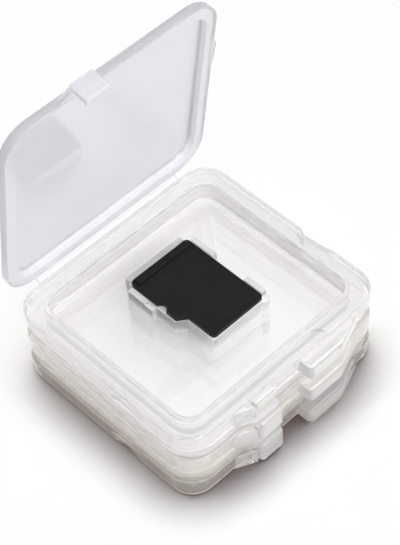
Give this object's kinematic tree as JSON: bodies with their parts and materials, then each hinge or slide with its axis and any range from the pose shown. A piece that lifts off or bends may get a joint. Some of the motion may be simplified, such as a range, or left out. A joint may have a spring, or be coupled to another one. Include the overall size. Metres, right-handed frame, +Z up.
{
  "type": "memory card case",
  "caption": "Stack of clear hinged plastic cases for memory cards, with snap latches and thumb grips; the top case stands open, showing a small black card in its cradle.",
  "frame": {"origin": "middle of the bottom case's underside, on the table", "axes": "+X along the hinges, +Y towards the hinge side, +Z up"},
  "size_m": [0.0379, 0.0392, 0.0505],
  "materials": {
    "clear_plastic": "clear, slightly milky polypropylene, smooth",
    "card_black": "satin black",
    "contact_gold": "gold plated"
  },
  "bodies": {
    "bottom_case": {"bottom_base_tray": "clear_plastic", "bottom_card_cradle": "clear_plastic", "bottom_hinge_web": "clear_plastic"},
    "bottom_lid": {"bottom_lid": "clear_plastic"},
    "bottom_latch": {"bottom_latch_tongue": "clear_plastic"},
    "middle_case": {"middle_base_tray": "clear_plastic", "middle_card_cradle": "clear_plastic", "middle_hinge_web": "clear_plastic"},
    "middle_lid": {"middle_lid": "clear_plastic"},
    "middle_latch": {"middle_latch_tongue": "clear_plastic"},
    "top_case": {"top_base_tray": "clear_plastic", "top_card_cradle": "clear_plastic", "top_hinge_web": "clear_plastic"},
    "top_lid": {"top_lid": "clear_plastic"},
    "top_latch": {"top_latch_tongue": "clear_plastic"},
    "card": {"card_body": "card_black", "card_contacts": "contact_gold"}
  },
  "joints": [
    {"name": "bottom_lid_hinge", "type": "hinge", "parent": "bottom_case", "child": "bottom_lid", "pos_m": [0, 0.018, 0.00323], "axis": [-1, 0, 0], "range_deg": [0, 95]},
    {"name": "middle_lid_hinge", "type": "hinge", "parent": "middle_case", "child": "middle_lid", "pos_m": [0, 0.018, 0.00831], "axis": [-1, 0, 0], "range_deg": [0, 100]},
    {"name": "top_lid_hinge", "type": "hinge", "parent": "top_case", "child": "top_lid", "pos_m": [0, 0.018, 0.01339], "axis": [-1, 0, 0], "range_deg": [-80.7, 99.3]},
    {"name": "bottom_latch_flex", "type": "hinge", "parent": "bottom_lid", "child": "bottom_latch", "pos_m": [-0.00525, -0.01915, 0.00416], "axis": [-1, 0, 0], "range_deg": [0, 10], "stiffness_Nm_per_rad": 0.002},
    {"name": "middle_latch_flex", "type": "hinge", "parent": "middle_lid", "child": "middle_latch", "pos_m": [-0.00525, -0.01915, 0.00924], "axis": [-1, 0, 0], "range_deg": [0, 10], "stiffness_Nm_per_rad": 0.002},
    {"name": "top_latch_flex", "type": "hinge", "parent": "top_lid", "child": "top_latch", "pos_m": [-0.00525, 0.01291, 0.0502], "axis": [-1, 0, 0], "range_deg": [0, 10], "stiffness_Nm_per_rad": 0.002},
    {"name": "middle_case_lift", "type": "slide", "parent": "bottom_lid", "child": "middle_case", "axis": [0, 0, 1], "range_m": [0, 0.025]},
    {"name": "top_case_lift", "type": "slide", "parent": "middle_lid", "child": "top_case", "axis": [0, 0, 1], "range_m": [0, 0.025]},
    {"name": "card_lift", "type": "slide", "parent": "top_case", "child": "card", "axis": [0, 0, 1], "range_m": [0, 0.02]}
  ]
}
